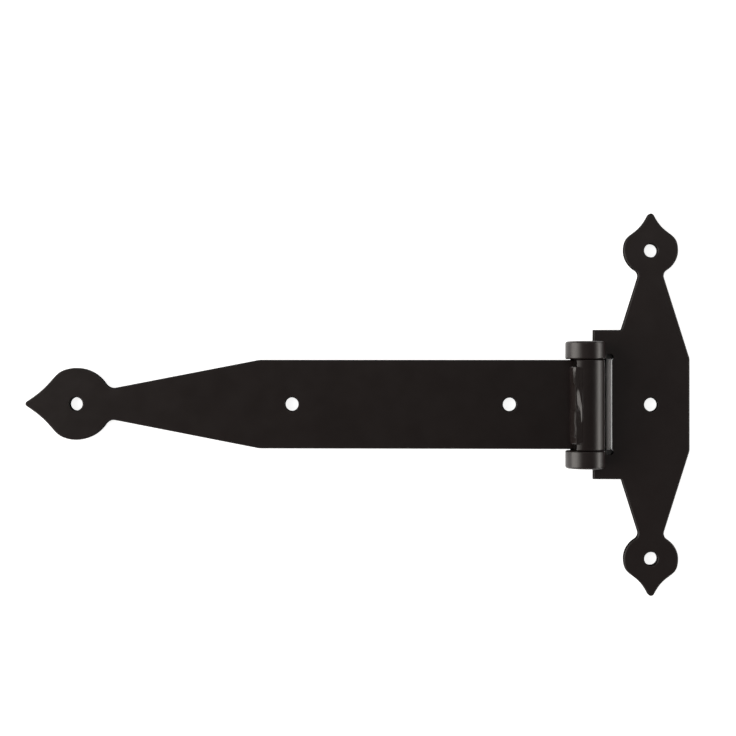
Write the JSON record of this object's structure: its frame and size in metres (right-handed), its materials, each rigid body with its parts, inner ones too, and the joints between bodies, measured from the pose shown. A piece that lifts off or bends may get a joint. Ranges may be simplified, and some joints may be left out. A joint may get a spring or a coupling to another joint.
{
  "type": "tee hinge",
  "caption": "Decorative tee hinge in black coated steel: a long tapered strap with a spear tip swings on a fixed pin held in the rolled ears of a spear-ended jamb plate.",
  "frame": {"origin": "on the mounting plane at the back of both leaves, under the middle of the pin", "axes": "+X square to the pin towards the jamb leaf, along the strap's length; +Y along the pin; +Z out of the mounting plane, towards the front"},
  "size_m": [0.3016, 0.1724, 0.0176],
  "materials": {
    "jamb_coating": "satin black powder coat",
    "strap_coating": "satin black powder coat",
    "weld_coating": "satin black powder coat over an uneven weld bead",
    "pin_coating": "satin black powder coat"
  },
  "bodies": {
    "jamb": {"jamb_leaf": "jamb_coating", "hinge_pin": "pin_coating"},
    "strap": {"strap_leaf": "strap_coating", "eye_weld": "weld_coating"}
  },
  "joints": [
    {"name": "strap_swing", "type": "hinge", "parent": "jamb", "child": "strap", "pos_m": [0, 0, 0.00878], "axis": [0, 1, 0], "range_deg": [0, 190]}
  ]
}
